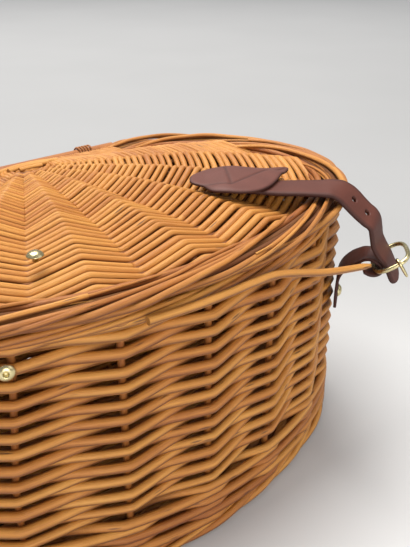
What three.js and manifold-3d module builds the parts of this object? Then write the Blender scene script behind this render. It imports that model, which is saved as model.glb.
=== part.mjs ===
// A half-moon picnic basket of woven willow with a fan lid, one leather strap and its buckle.
// Millimetres, +Z up, +X along the straight back, -Y towards the rounded front.
import * as THREE from "three";
import Module from "manifold-3d";

const wasm = await Module();
wasm.setup();

// Plan outline: a straight back, two end arcs and one wide front arc, all tangent.
const BACK_HALF = 72;
const END_R = 92.5;
const DEPTH = 202.5;
const END_RISE = DEPTH - END_R;
const FRONT_R = (BACK_HALF ** 2 + END_RISE ** 2 - END_R ** 2) / (2 * (DEPTH - 2 * END_R));
const FRONT_Y = FRONT_R - DEPTH;
const JOIN = Math.atan2(END_R + FRONT_Y, BACK_HALF);
const END_STEPS = 16;
const FRONT_STEPS = 20;
const BACK_STEPS = 12;
const GAP = 0.3;

// Heights of the body from the floor up.
const FOOT_H = 12;
const FOOT_HALF_W = 7.3;
const FOOT_IN = 6.3;
const BASE_T = 8;
const BASE_Z = 3.9;
const WALL_T = 13.6;
const WALL_TOP = 147.7;
const RIM_R = 4;
const RIM_IN = 4.5;
const RIM_Z = 152;

// The lid: a rolled border round the curve, a straight rod at the back and a domed panel between.
const LID_OVER = 3.5;
const BORDER_HALF_W = 11;
const BORDER_HALF_H = 5.5;
const BORDER_Z = 161.8;
const BORDER_LOBES = 6;
const BORDER_TURNS = 3.5;
const ROD_R = 4.5;
const ROD_Y = -1;
const ROD_Z = 161;
const ROD_END = BACK_HALF - GAP;
const PANEL_IN = 2 * BORDER_HALF_W - LID_OVER + GAP;
const PANEL_T = 7;
const PANEL_EDGE_Z = 165;
const DOME_H = 7;
const DOME_RUN = 82;
const PANEL_RINGS = [30, 48, 68, 88];

// Hinge loops round the back rod and the rim.
const LOOP_X = 48;
const LOOP_W = 11;
const LOOP_T = 1.3;
const LOOP_FREE = 0.4;
const SLOT_W = 12.6;

// Strap frame: its origin is where the strap crosses the lid edge, its x axis runs outwards.
const STRAP_X = 110.9;
const STRAP_Y = -179.9;
const STRAP_TURN = -Math.PI / 4;
const STRAP_T = 2.4;
const CHAPE_T = 2;
const PATCH_T = 2;
const HOLE_R = 2.1;

// The lid strap's middle line, from under the patch to the tail; roll lifts its far edge.
const STRAP_LINE = [
  { s: -62, w: 0, z: 171.4, half: 11, roll: 0 },
  { s: -50, w: 0, z: 170.3, half: 11, roll: 0 },
  { s: -38, w: 0, z: 169.6, half: 11, roll: 0 },
  { s: -25, w: 0, z: 169.9, half: 11, roll: 1 },
  { s: -14, w: 0, z: 170, half: 11, roll: 3 },
  { s: -7, w: 0, z: 170, half: 11, roll: 7 },
  { s: -1.5, w: -0.3, z: 168.6, half: 11, roll: 16 },
  { s: 2, w: -0.6, z: 166.4, half: 10.8, roll: 22 },
  { s: 5.3, w: -1, z: 163.6, half: 10.6, roll: 25, hole: true },
  { s: 9, w: -1.6, z: 160, half: 10.4, roll: 25 },
  { s: 13.4, w: -2.3, z: 156.1, half: 10.2, roll: 24, hole: true },
  { s: 17.2, w: -3, z: 153.2, half: 10, roll: 24 },
  { s: 18.9, w: -3.4, z: 150.6, half: 10, roll: 24 },
  { s: 20, w: -4, z: 146, half: 10, roll: 24 },
  { s: 21.2, w: -4.5, z: 140.5, half: 10, roll: 23 },
  { s: 23.7, w: -5, z: 136, half: 10, roll: 21 },
  { s: 27.4, w: -5, z: 130.8, half: 9.6, roll: 19 },
  { s: 30.6, w: -5, z: 124.7, half: 9.4, roll: 19 },
  { s: 32.7, w: -5, z: 120.3, half: 9, roll: 20 },
  { s: 34.1, w: -5, z: 117.7, half: 7.4, roll: 20 },
  { s: 34.8, w: -5, z: 116.4, half: 5.2, roll: 20 },
  { s: 35.1, w: -5, z: 115.8, half: 3, roll: 20 },
];

// The chape: up the wall, out to the ring, round its inner bar and back underneath.
const CHAPE_LINE = [
  { s: 3.8, w: 20, z: 84, yaw: 9, half: 6 },
  { s: 3.8, w: 20, z: 87, yaw: 9, half: 9.5 },
  { s: 3.8, w: 20, z: 101, yaw: 9, half: 9.5 },
  { s: 4.3, w: 19.2, z: 107, yaw: 8, half: 9.3 },
  { s: 5.9, w: 16.8, z: 112.8, yaw: 7, half: 9 },
  { s: 8.6, w: 13, z: 118.2, yaw: 5, half: 8.8 },
  { s: 11.8, w: 8, z: 123, yaw: 4, half: 8.6 },
  { s: 15, w: 3, z: 126.8, yaw: 2, half: 8.3 },
  { s: 18.2, w: -1, z: 128.9, yaw: 0, half: 8 },
  { s: 21.6, w: -4.4, z: 128.8, yaw: 0, half: 7.6 },
  { s: 24.5, w: -5, z: 125.9, yaw: 0, half: 7.2 },
  { s: 24.1, w: -5, z: 122.8, yaw: 0, half: 7.2 },
  { s: 21.4, w: -5, z: 121.1, yaw: 0, half: 7.2 },
  { s: 18, w: -5, z: 121.2, yaw: 0, half: 7.2 },
  { s: 14.8, w: -5, z: 122.2, yaw: 0, half: 6 },
];

// The oval ring lies across the strap, tilted up outwards, and its prong hangs beside the tail.
const RING = { s: 29.7, w: -5, z: 130.1, tilt: 32, long: 10.6, wide: 13, wire: 1.5, power: 3 };
const PRONG_AT = -78;
const PRONG_R = 1;
const PRONG_HANG = 8;

// The heart-shaped patch in plan, notch first, tip towards +X.
const PATCH_OUTLINE = [
  [48, -129.5],
  [45.8, -121.5],
  [50.5, -114.5],
  [60, -110.8],
  [70, -110],
  [79, -113.8],
  [87, -120.5],
  [99, -126.3],
  [116.5, -131],
  [104, -138.3],
  [94, -144],
  [84, -149.8],
  [73, -153.2],
  [62, -151.4],
  [52.5, -146],
  [46.5, -138],
];
const PATCH_STEPS = 36;
const PATCH_LIFT = { over: 4, edge: 0.6, near: 4, far: 20 };

// Dome studs: position of the middle of the cap's flat back, and the way it faces.
const STUD_R = 4.2;
const STUD_H = 2.8;
const STEM_R = 1.5;
const LID_STEM = 2.6;
const BODY_STUD = { x: -103, z: 141 };
const LID_STUD = { x: -68, y: -147.4 };
const CHAPE_STUD_Z = 94;

// A rod sprung loose from the top border, lying out to the right.
const LOOSE_R = 2.1;
const LOOSE_LINE = [
  [-45, -200.9, 152.3],
  [-20, -204.2, 152.3],
  [0, -205, 152.3],
  [14, -204.9, 152.2],
  [30, -205, 151.4],
  [70, -205, 139.8],
  [109, -204.6, 131],
];

const WILLOW = 0xc08a4c;
const LEATHER = 0x6e4340;
const BRASS = 0xb9a765;

const group = new THREE.Group();
const object = new THREE.Group();
group.add(object);

function add(name, geometry, color, metalness = 0) {
  const roughness = metalness ? 0.3 : 0.6;
  const material = new THREE.MeshStandardMaterial({ color, metalness, roughness });
  const mesh = new THREE.Mesh(geometry, material);
  mesh.name = name;
  object.add(mesh);
}

// Joins rings of equal length into one closed body: round in a loop, or capped at both ends.
function loft(rings, loop = false) {
  const n = rings[0].length;
  const points = rings.flat();
  const faces = [];
  const spans = loop ? rings.length : rings.length - 1;
  for (let i = 0; i < spans; i++) {
    const a = i * n;
    const b = ((i + 1) % rings.length) * n;
    for (let k = 0; k < n; k++) {
      const m = (k + 1) % n;
      faces.push([a + k, b + k, b + m], [a + k, b + m, a + m]);
    }
  }
  if (!loop) {
    const last = (rings.length - 1) * n;
    const first = points.length;
    points.push(middle(rings[0]), middle(rings[rings.length - 1]));
    for (let k = 0; k < n; k++) {
      const m = (k + 1) % n;
      faces.push([first, k, m], [first + 1, last + m, last + k]);
    }
  }
  return closed(points, faces);
}

function middle(ring) {
  const sum = ring.reduce((total, p) => total.add(p), new THREE.Vector3());
  return sum.divideScalar(ring.length);
}

// Turns the faces outwards if the sum of their signed volumes is negative.
function closed(points, faces) {
  let volume = 0;
  for (const [a, b, c] of faces) {
    volume += points[a].dot(points[b].clone().cross(points[c]));
  }
  const index = faces.flatMap(([a, b, c]) => (volume < 0 ? [a, c, b] : [a, b, c]));
  const geometry = new THREE.BufferGeometry().setFromPoints(points);
  geometry.setIndex(index);
  geometry.computeVertexNormals();
  return geometry;
}

function solid(geometry) {
  return new wasm.Manifold(
    new wasm.Mesh({
      numProp: 3,
      vertProperties: new Float32Array(geometry.attributes.position.array),
      triVerts: new Uint32Array(geometry.index.array),
    }),
  );
}

function cut(geometry, cutters) {
  let body = solid(geometry);
  for (const cutter of cutters) {
    body = body.subtract(solid(cutter));
  }
  const mesh = body.getMesh();
  const result = new THREE.BufferGeometry();
  result.setAttribute("position", new THREE.BufferAttribute(mesh.vertProperties, 3));
  result.setIndex(new THREE.BufferAttribute(mesh.triVerts, 1));
  result.computeVertexNormals();
  return result;
}

function arc(cx, cy, radius, from, to, steps) {
  const stations = [];
  for (let i = 0; i <= steps; i++) {
    const angle = from + ((to - from) * i) / steps;
    const nx = Math.cos(angle);
    const ny = Math.sin(angle);
    stations.push({ x: cx + radius * nx, y: cy + radius * ny, nx, ny });
  }
  return stations;
}

// The curved part of the outline, from the left back corner round the front to the right one.
function curve(offset) {
  const half = Math.PI / 2;
  const left = arc(-BACK_HALF, -END_R, END_R + offset, half, Math.PI + JOIN, END_STEPS);
  const front = arc(0, FRONT_Y, FRONT_R + offset, Math.PI + JOIN, 2 * Math.PI - JOIN, FRONT_STEPS);
  const right = arc(BACK_HALF, -END_R, END_R + offset, -JOIN, half, END_STEPS);
  return [...left, ...front.slice(1), ...right.slice(1)];
}

// The whole outline, with the straight back run from right to left.
function outline(offset) {
  const back = [];
  for (let i = 1; i < BACK_STEPS; i++) {
    back.push({ x: BACK_HALF * (1 - (2 * i) / BACK_STEPS), y: offset, nx: 0, ny: 1 });
  }
  return [...curve(offset), ...back];
}

function level(stations, z) {
  return stations.map((p) => new THREE.Vector3(p.x, p.y, z));
}

// Sweeps a section of [outwards, up] pairs along plan stations at height z.
function sweep(stations, z, section, loop) {
  const rings = stations.map((p, i) =>
    section(i / stations.length).map(
      ([out, up]) => new THREE.Vector3(p.x + out * p.nx, p.y + out * p.ny, z + up),
    ),
  );
  return loft(rings, loop);
}

// An oval bundle of rods whose lobes turn as it runs along.
function bundle(halfWidth, halfHeight, lobes, turns) {
  return (along) => {
    const section = [];
    for (let k = 0; k < 2 * lobes; k++) {
      const angle = (Math.PI * k) / lobes + 2 * Math.PI * turns * along;
      const reach = k % 2 ? 0.86 : 1;
      section.push([reach * halfWidth * Math.cos(angle), reach * halfHeight * Math.sin(angle)]);
    }
    return section;
  };
}

// Distance in from the wall's outline at a point in plan.
function inset(x, y) {
  const distances = [];
  const side = Math.abs(x);
  const endAngle = Math.atan2(y + END_R, side - BACK_HALF);
  if (side <= BACK_HALF) distances.push(-y);
  if (endAngle > -JOIN && endAngle < Math.PI / 2) {
    distances.push(END_R - Math.hypot(side - BACK_HALF, y + END_R));
  }
  if (Math.atan2(FRONT_Y - y, side) >= JOIN) {
    distances.push(FRONT_R - Math.hypot(x, y - FRONT_Y));
  }
  return Math.min(...distances);
}

function domeRise(distance) {
  const t = THREE.MathUtils.clamp((distance - PANEL_IN) / DOME_RUN, 0, 1);
  return DOME_H * (1 - (1 - t) ** 2);
}

function panelTop(x, y) {
  return PANEL_EDGE_Z + domeRise(inset(x, y));
}

// The outline round any set of circles, met from every side in turn.
function belt(circles, x, steps = 36) {
  const ring = [];
  for (let i = 0; i < steps; i++) {
    const angle = (2 * Math.PI * i) / steps;
    const uy = Math.cos(angle);
    const uz = Math.sin(angle);
    const reach = (c) => c.y * uy + c.z * uz + c.r;
    const far = circles.reduce((best, c) => (reach(c) > reach(best) ? c : best));
    ring.push(new THREE.Vector3(x, far.y + far.r * uy, far.z + far.r * uz));
  }
  return ring;
}

function box(x, y, z, sx, sy, sz) {
  const lower = level(rectangle(x, y, sx, sy), z - sz / 2);
  const upper = level(rectangle(x, y, sx, sy), z + sz / 2);
  return loft([lower, upper]);
}

function rectangle(x, y, sx, sy) {
  return [
    { x: x - sx / 2, y: y - sy / 2 },
    { x: x + sx / 2, y: y - sy / 2 },
    { x: x + sx / 2, y: y + sy / 2 },
    { x: x - sx / 2, y: y + sy / 2 },
  ];
}

// From the strap frame to the object: s outwards, w across, z up.
function fromStrap(s, w, z) {
  const cos = Math.cos(STRAP_TURN);
  const sin = Math.sin(STRAP_TURN);
  return new THREE.Vector3(STRAP_X + s * cos - w * sin, STRAP_Y + s * sin + w * cos, z);
}

function toStrap(x, y) {
  const cos = Math.cos(STRAP_TURN);
  const sin = Math.sin(STRAP_TURN);
  const dx = x - STRAP_X;
  const dy = y - STRAP_Y;
  return { s: dx * cos + dy * sin, w: dy * cos - dx * sin };
}

// The run, the way across and the facing of a strip at one of its stations, in the strap frame.
function stripFrame(line, i) {
  const local = (at) => new THREE.Vector3(at.s, at.w, at.z);
  const at = line[i];
  const before = local(line[Math.max(i - 1, 0)]);
  const run = local(line[Math.min(i + 1, line.length - 1)]).sub(before).normalize();
  const yaw = THREE.MathUtils.degToRad(at.yaw ?? 0);
  const across = new THREE.Vector3(Math.sin(yaw), Math.cos(yaw), 0);
  across.addScaledVector(run, -across.dot(run)).normalize();
  across.applyAxisAngle(run, THREE.MathUtils.degToRad(at.roll ?? 0));
  return { middle: local(at), run, across, facing: run.clone().cross(across) };
}

// A flat strip of leather along a line of stations in the strap frame.
function strip(line, thickness) {
  const corners = [
    [-1, -1],
    [1, -1],
    [1, 1],
    [-1, 1],
  ];
  const rings = line.map((at, i) => {
    const { middle: centre, across, facing } = stripFrame(line, i);
    return corners.map(([side, face]) => {
      const p = centre.clone().addScaledVector(across, side * at.half);
      p.addScaledVector(facing, (face * thickness) / 2);
      return fromStrap(p.x, p.y, p.z);
    });
  });
  return loft(rings);
}

// A round bar along points; the circle stands square to the run of the points.
function bar(points, radius, sides, loop = false) {
  const n = points.length;
  const rings = points.map((p, i) => {
    const before = points[loop ? (i + n - 1) % n : Math.max(i - 1, 0)];
    const after = points[loop ? (i + 1) % n : Math.min(i + 1, n - 1)];
    const run = after.clone().sub(before).normalize();
    const ref = loop ? ringNormal() : barReference(points);
    const u = ref.clone().cross(run).normalize();
    const v = run.clone().cross(u);
    const ring = [];
    for (let k = 0; k < sides; k++) {
      const angle = (2 * Math.PI * k) / sides;
      const reach = u.clone().multiplyScalar(radius * Math.cos(angle));
      ring.push(p.clone().add(reach).addScaledVector(v, radius * Math.sin(angle)));
    }
    return ring;
  });
  return loft(rings, loop);
}

// A direction square to the general run of an open bar.
function barReference(points) {
  const a = points[0];
  const b = points[Math.floor(points.length / 2)];
  const c = points[points.length - 1];
  const square = b.clone().sub(a).cross(c.clone().sub(b));
  return square.length() > 1 ? square.normalize() : new THREE.Vector3(0, 0, 1);
}

function ringPoint(degrees) {
  const angle = THREE.MathUtils.degToRad(degrees);
  const bend = (v) => Math.sign(v) * Math.abs(v) ** (2 / RING.power);
  const along = RING.long * bend(Math.cos(angle));
  const across = RING.wide * bend(Math.sin(angle));
  const tilt = THREE.MathUtils.degToRad(RING.tilt);
  const out = along * Math.cos(tilt);
  return fromStrap(RING.s + out, RING.w + across, RING.z + along * Math.sin(tilt));
}

function ringNormal() {
  const tilt = THREE.MathUtils.degToRad(RING.tilt);
  const top = fromStrap(-Math.sin(tilt), 0, Math.cos(tilt));
  return top.sub(fromStrap(0, 0, 0));
}

// A dome cap on its flat back at a point, facing along a direction, with any stem behind it.
function stud(point, facing, stem = 0) {
  const post = [
    [STEM_R, -stem],
    [STEM_R, 0],
  ];
  const cap = [
    [STUD_R * 0.92, 0],
    [STUD_R, STUD_H * 0.25],
    [STUD_R * 0.86, STUD_H * 0.62],
    [STUD_R * 0.5, STUD_H * 0.92],
  ];
  const profile = stem ? [...post, ...cap] : cap;
  const turn = new THREE.Quaternion().setFromUnitVectors(new THREE.Vector3(0, 0, 1), facing);
  const rings = profile.map(([radius, height]) => {
    const ring = [];
    for (let k = 0; k < 16; k++) {
      const angle = (2 * Math.PI * k) / 16;
      const p = new THREE.Vector3(radius * Math.cos(angle), radius * Math.sin(angle), height);
      ring.push(p.applyQuaternion(turn).add(point));
    }
    return ring;
  });
  return loft(rings);
}

function addBody() {
  const footSection = () => [
    [-FOOT_HALF_W + 2.5, 0],
    [FOOT_HALF_W - 2.5, 0],
    [FOOT_HALF_W, 3.5],
    [FOOT_HALF_W, FOOT_H - 3],
    [FOOT_HALF_W - 2.5, FOOT_H],
    [-FOOT_HALF_W + 2.5, FOOT_H],
    [-FOOT_HALF_W, FOOT_H - 3],
    [-FOOT_HALF_W, 3.5],
  ];
  add("foot_border", sweep(outline(-FOOT_IN), 0, footSection, true), WILLOW);

  const baseOutline = outline(-WALL_T - GAP);
  add("base_panel", loft([level(baseOutline, BASE_Z), level(baseOutline, BASE_Z + BASE_T)]), WILLOW);

  const foot = FOOT_H + GAP;
  const outer = outline(0);
  const inner = outline(-WALL_T);
  const shell = loft(
    [level(outer, foot), level(outer, WALL_TOP), level(inner, WALL_TOP), level(inner, foot)],
    true,
  );
  const slots = [-LOOP_X, LOOP_X].map((x) => box(x, -WALL_T / 2, WALL_TOP, SLOT_W, WALL_T + 4, 5.8));
  add("wall", cut(shell, slots), WILLOW);

  add("rim_border", sweep(outline(-RIM_IN), RIM_Z, bundle(RIM_R, RIM_R, 5, 5), true), WILLOW);
}

function addHinges() {
  const circles = (grow) => [
    { y: ROD_Y, z: ROD_Z, r: ROD_R + LOOP_FREE + grow },
    { y: -RIM_IN, z: RIM_Z, r: RIM_R + LOOP_FREE + grow },
  ];
  for (const [name, x] of [["hinge_loop_left", -LOOP_X], ["hinge_loop_right", LOOP_X]]) {
    const low = x - LOOP_W / 2;
    const high = x + LOOP_W / 2;
    const outside = circles(LOOP_T);
    const inside = circles(0);
    const rings = [belt(outside, low), belt(outside, high), belt(inside, high), belt(inside, low)];
    add(name, loft(rings, true), WILLOW);
  }
}

function addLid() {
  const border = bundle(BORDER_HALF_W, BORDER_HALF_H, BORDER_LOBES, BORDER_TURNS);
  const centre = curve(LID_OVER - BORDER_HALF_W);
  add("lid_border", sweep(centre, BORDER_Z, border, false), WILLOW);

  const circle = (x) => belt([{ y: ROD_Y, z: ROD_Z, r: ROD_R }], x, 20);
  add("lid_back_rod", loft([circle(-ROD_END), circle(ROD_END)]), WILLOW);

  const edge = outline(-PANEL_IN);
  const curved = curve(0).length;
  const straight = edge.length - curved;
  edge.slice(curved).forEach((p, i) => {
    p.x = ROD_END * (1 - (2 * i) / (straight - 1));
    p.y = ROD_Y - ROD_R - GAP;
  });
  const tops = [{ ring: edge, rise: 0 }];
  for (const distance of PANEL_RINGS) {
    tops.push({ ring: outline(-distance), rise: domeRise(distance) });
  }
  const upper = tops.map(({ ring, rise }) => level(ring, PANEL_EDGE_Z + rise));
  const lower = tops.map(({ ring, rise }) => level(ring, PANEL_EDGE_Z + rise - PANEL_T));
  const panel = loft([...lower.reverse(), ...upper]);
  const slots = [-LOOP_X, LOOP_X].map((x) => box(x, -6.7, ROD_Z, SLOT_W, 9.8, 20));
  add("lid_panel", cut(panel, slots), WILLOW);
}

// How far the patch stands off the panel, so that it clears the end of the strap below it.
function patchLift(x, y) {
  const { s, w } = toStrap(x, y);
  const past = Math.max(STRAP_LINE[0].s - s, 0);
  const beside = Math.max(Math.abs(w) - STRAP_LINE[0].half, 0);
  const t = THREE.MathUtils.smoothstep(Math.hypot(past, beside), PATCH_LIFT.near, PATCH_LIFT.far);
  return THREE.MathUtils.lerp(PATCH_LIFT.over, PATCH_LIFT.edge, t);
}

function addPatch() {
  const knots = PATCH_OUTLINE.map(([x, y]) => new THREE.Vector3(x, y, 0));
  const path = new THREE.CatmullRomCurve3(knots, true, "centripetal");
  const rim = path.getPoints(PATCH_STEPS).slice(0, PATCH_STEPS);
  const heart = middle(rim);
  const ringAt = (scale, up) =>
    rim.map((p) => {
      const q = heart.clone().lerp(p, scale);
      return q.setZ(panelTop(q.x, q.y) + patchLift(q.x, q.y) + up);
    });
  const scales = [0.2, 0.5, 0.8, 1];
  const lower = scales.map((scale) => ringAt(scale, 0));
  const upper = scales.map((scale) => ringAt(scale, PATCH_T));
  add("strap_patch", loft([...lower, ...upper.reverse()]), LEATHER);
}

function addStrap() {
  const holes = [];
  STRAP_LINE.forEach((at, i) => {
    if (!at.hole) return;
    const { middle: centre, run, across, facing } = stripFrame(STRAP_LINE, i);
    const disc = (reach) => {
      const ring = [];
      for (let k = 0; k < 12; k++) {
        const angle = (2 * Math.PI * k) / 12;
        const p = centre.clone().addScaledVector(facing, reach);
        p.addScaledVector(run, HOLE_R * Math.cos(angle));
        p.addScaledVector(across, HOLE_R * Math.sin(angle));
        ring.push(fromStrap(p.x, p.y, p.z));
      }
      return ring;
    };
    holes.push(loft([disc(-4), disc(4)]));
  });
  add("lid_strap", cut(strip(STRAP_LINE, STRAP_T), holes), LEATHER);
}

function addBuckle() {
  add("buckle_chape", strip(CHAPE_LINE, CHAPE_T), LEATHER);

  const wire = [];
  for (let k = 0; k < 36; k++) {
    wire.push(ringPoint(k * 10));
  }
  add("buckle_ring", bar(wire, RING.wire, 8, true), BRASS, 1);

  const seat = ringPoint(PRONG_AT);
  const run = ringPoint(PRONG_AT + 1).sub(ringPoint(PRONG_AT - 1)).normalize();
  const up = ringNormal();
  const out = run.clone().cross(up).normalize();
  const reach = RING.wire + GAP + PRONG_R;
  const hook = [];
  for (let degrees = 230; degrees >= 0; degrees -= 23) {
    const angle = THREE.MathUtils.degToRad(degrees);
    const p = seat.clone().addScaledVector(out, reach * Math.cos(angle));
    hook.push(p.addScaledVector(up, reach * Math.sin(angle)));
  }
  const hang = hook[hook.length - 1].clone().addScaledVector(up, -PRONG_HANG);
  add("buckle_prong", bar([...hook, hang], PRONG_R, 8), BRASS, 1);
}

function addStuds() {
  const top = panelTop(LID_STUD.x, LID_STUD.y) + GAP + LID_STEM;
  const lidPoint = new THREE.Vector3(LID_STUD.x, LID_STUD.y, top);
  add("lid_stud", stud(lidPoint, new THREE.Vector3(0, 0, 1), LID_STEM), BRASS, 1);

  const frontAngle = Math.acos(BODY_STUD.x / FRONT_R);
  const facing = new THREE.Vector3(Math.cos(frontAngle), -Math.sin(frontAngle), 0);
  const wallPoint = facing.clone().multiplyScalar(FRONT_R + GAP);
  wallPoint.add(new THREE.Vector3(0, FRONT_Y, BODY_STUD.z));
  add("body_stud", stud(wallPoint, facing), BRASS, 1);

  const base = CHAPE_LINE[1];
  const yaw = THREE.MathUtils.degToRad(base.yaw);
  const away = fromStrap(Math.cos(yaw), -Math.sin(yaw), 0).sub(fromStrap(0, 0, 0));
  const chapePoint = fromStrap(base.s, base.w, CHAPE_STUD_Z);
  chapePoint.addScaledVector(away, CHAPE_T / 2 + GAP);
  add("chape_stud", stud(chapePoint, away), BRASS, 1);
}

function addLooseRod() {
  const knots = LOOSE_LINE.map((p) => new THREE.Vector3(...p));
  const path = new THREE.CatmullRomCurve3(knots, false, "centripetal");
  add("loose_rod", bar(path.getPoints(20), LOOSE_R, 10), WILLOW);
}

addBody();
addHinges();
addLid();
addPatch();
addStrap();
addBuckle();
addStuds();
addLooseRod();

// The frame's origin is the middle of the bottom of the whole object's box.
const bounds = new THREE.Box3().setFromObject(object, true);
object.position.x = -(bounds.min.x + bounds.max.x) / 2;
object.position.y = -(bounds.min.y + bounds.max.y) / 2;
object.position.z = -bounds.min.z;

export default group;
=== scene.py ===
"""A half-moon picnic basket of woven willow: rods, leather strap, brass buckle and studs."""
import math
import bmesh
import bpy
import numpy as np
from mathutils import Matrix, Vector


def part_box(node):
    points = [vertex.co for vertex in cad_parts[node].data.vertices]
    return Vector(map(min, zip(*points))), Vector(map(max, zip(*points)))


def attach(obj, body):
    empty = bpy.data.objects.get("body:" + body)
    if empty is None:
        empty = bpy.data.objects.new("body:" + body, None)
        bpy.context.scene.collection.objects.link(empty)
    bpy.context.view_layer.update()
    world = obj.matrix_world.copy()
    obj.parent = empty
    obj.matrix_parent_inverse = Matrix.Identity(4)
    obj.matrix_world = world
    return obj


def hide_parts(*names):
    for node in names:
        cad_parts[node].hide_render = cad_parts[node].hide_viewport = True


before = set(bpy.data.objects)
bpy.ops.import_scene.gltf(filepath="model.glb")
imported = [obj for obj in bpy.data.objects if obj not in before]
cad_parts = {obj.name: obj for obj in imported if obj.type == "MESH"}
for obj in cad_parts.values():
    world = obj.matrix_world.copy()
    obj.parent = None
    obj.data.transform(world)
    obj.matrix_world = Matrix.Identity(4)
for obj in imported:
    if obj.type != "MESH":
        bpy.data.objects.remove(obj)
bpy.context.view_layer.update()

MM = 0.001
rng = np.random.default_rng(41)

# Plan of the basket in mm: the straight back lies on y = 0, the front towards -y.
BACK_HALF, END_R, DEPTH = 72.0, 92.5, 202.5
END_RISE = DEPTH - END_R
FRONT_R = (BACK_HALF**2 + END_RISE**2 - END_R**2) / (2 * (DEPTH - 2 * END_R))
FRONT_Y = FRONT_R - DEPTH
JOIN = math.atan2(END_R + FRONT_Y, BACK_HALF)
END_LENGTH = END_R * (math.pi / 2 + JOIN)
FRONT_LENGTH = FRONT_R * (math.pi - 2 * JOIN)
AROUND = 2 * (BACK_HALF + END_LENGTH) + FRONT_LENGTH

wall_low, wall_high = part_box("wall")
PLACE = np.array([(wall_low.x + wall_high.x) / 2, wall_high.y, 0.0])


def columns(*parts):
    """Rows of points from their columns."""
    return np.column_stack(parts)


def in_frame(points):
    """Points in mm of the basket's plan, as metres in the shared frame."""
    return np.asarray(points, float) * MM + PLACE


def plan(run, offset=0.0):
    """Points at a run round the outline, from the middle of the back to the right, moved outwards."""
    run = np.mod(np.asarray(run, float), AROUND)
    ends = np.cumsum([BACK_HALF, END_LENGTH, FRONT_LENGTH, END_LENGTH])
    stretch = [run < end for end in ends]
    right = math.pi / 2 - (run - ends[0]) / END_R
    front = -JOIN - (run - ends[1]) / FRONT_R
    left = -(math.pi - JOIN) - (run - ends[2]) / END_R
    angle = np.select(stretch, [math.pi / 2, right, front, left], math.pi / 2)
    x0 = np.select(stretch, [run, BACK_HALF, 0.0, -BACK_HALF], run - AROUND)
    y0 = np.select(stretch, [0.0, -END_R, FRONT_Y, -END_R], 0.0)
    reach = np.select(stretch, [0.0, END_R, FRONT_R, END_R], 0.0) + offset
    return np.stack([x0 + reach * np.cos(angle), y0 + reach * np.sin(angle)], -1)


def level_line(run, offset, z):
    """A line along the outline at one height."""
    return columns(plan(run, offset), np.full(len(run), z))


def inset(x, y):
    """Distance in from the wall's outline at points in plan."""
    side = np.abs(x)
    far = 1e6
    back = np.where(side <= BACK_HALF, -y, far)
    end_angle = np.arctan2(y + END_R, side - BACK_HALF)
    end = END_R - np.hypot(side - BACK_HALF, y + END_R)
    end = np.where((end_angle > -JOIN) & (end_angle < math.pi / 2), end, far)
    front = FRONT_R - np.hypot(x, y - FRONT_Y)
    front = np.where(np.arctan2(FRONT_Y - y, side) >= JOIN, front, far)
    return np.minimum(np.minimum(back, end), front)


# The lid's domed surface in mm.
PANEL_IN, PANEL_EDGE_Z, DOME_H, DOME_RUN = 18.8, 165.0, 7.0, 82.0


def panel_top(x, y):
    """Height of the lid's woven surface."""
    t = np.clip((inset(x, y) - PANEL_IN) / DOME_RUN, 0, 1)
    return PANEL_EDGE_Z + DOME_H * (1 - (1 - t) ** 2)


def kinked(x, sharp=0.985):
    """A wave of straight runs with softly kinked tips, high at even numbers and low at odd ones."""
    return np.arcsin(sharp * np.cos(np.pi * x)) / math.asin(sharp)


def wander(turn, size, waves=5):
    """A smooth random curve over turns of a circle, of about the given size."""
    total = np.zeros(len(turn))
    for k in range(1, waves + 1):
        total += (rng.normal() * np.cos(k * turn) + rng.normal() * np.sin(k * turn)) / k
    return size * total


def smooth_line(knots, n):
    """A smooth curve of n points through rows of knots; the first three columns set the spacing."""
    knots = np.asarray(knots, float)
    gaps = np.sqrt(np.linalg.norm(np.diff(knots[:, :3], axis=0), axis=1))
    t = np.concatenate([[0], np.cumsum(gaps)])
    want = np.linspace(0, t[-1], n)
    slopes = np.gradient(knots, t, axis=0)
    k = np.clip(np.searchsorted(t, want, side="right") - 1, 0, len(t) - 2)
    h = (t[k + 1] - t[k])[:, None]
    u = ((want - t[k]) / h[:, 0])[:, None]
    start = knots[k] * (1 + 2 * u) + slopes[k] * h * u
    end = knots[k + 1] * (3 - 2 * u) + slopes[k + 1] * h * (u - 1)
    return start * (1 - u) ** 2 + end * u**2


class Value:
    """A shader socket that takes part in Python sums."""

    def __init__(self, finish, socket):
        self.finish = finish
        self.socket = socket

    def maths(self, operation, *others):
        inputs = {0: self, **dict(enumerate(others, 1))}
        return self.finish.node("ShaderNodeMath", {"operation": operation}, inputs)

    def __add__(self, other):
        return self.maths("ADD", other)

    __radd__ = __add__

    def __sub__(self, other):
        return self.maths("SUBTRACT", other)

    def __rsub__(self, other):
        return (self * -1.0) + other

    def __mul__(self, other):
        return self.maths("MULTIPLY", other)

    __rmul__ = __mul__

    def clamp(self):
        return self.maths("MAXIMUM", 0.0).maths("MINIMUM", 1.0)

    def step(self, low, high):
        """Rises smoothly from 0 at low to 1 at high."""
        inputs = {"Value": self, "From Min": low, "From Max": high}
        return self.finish.node("ShaderNodeMapRange", {"interpolation_type": "SMOOTHSTEP"}, inputs)


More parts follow.
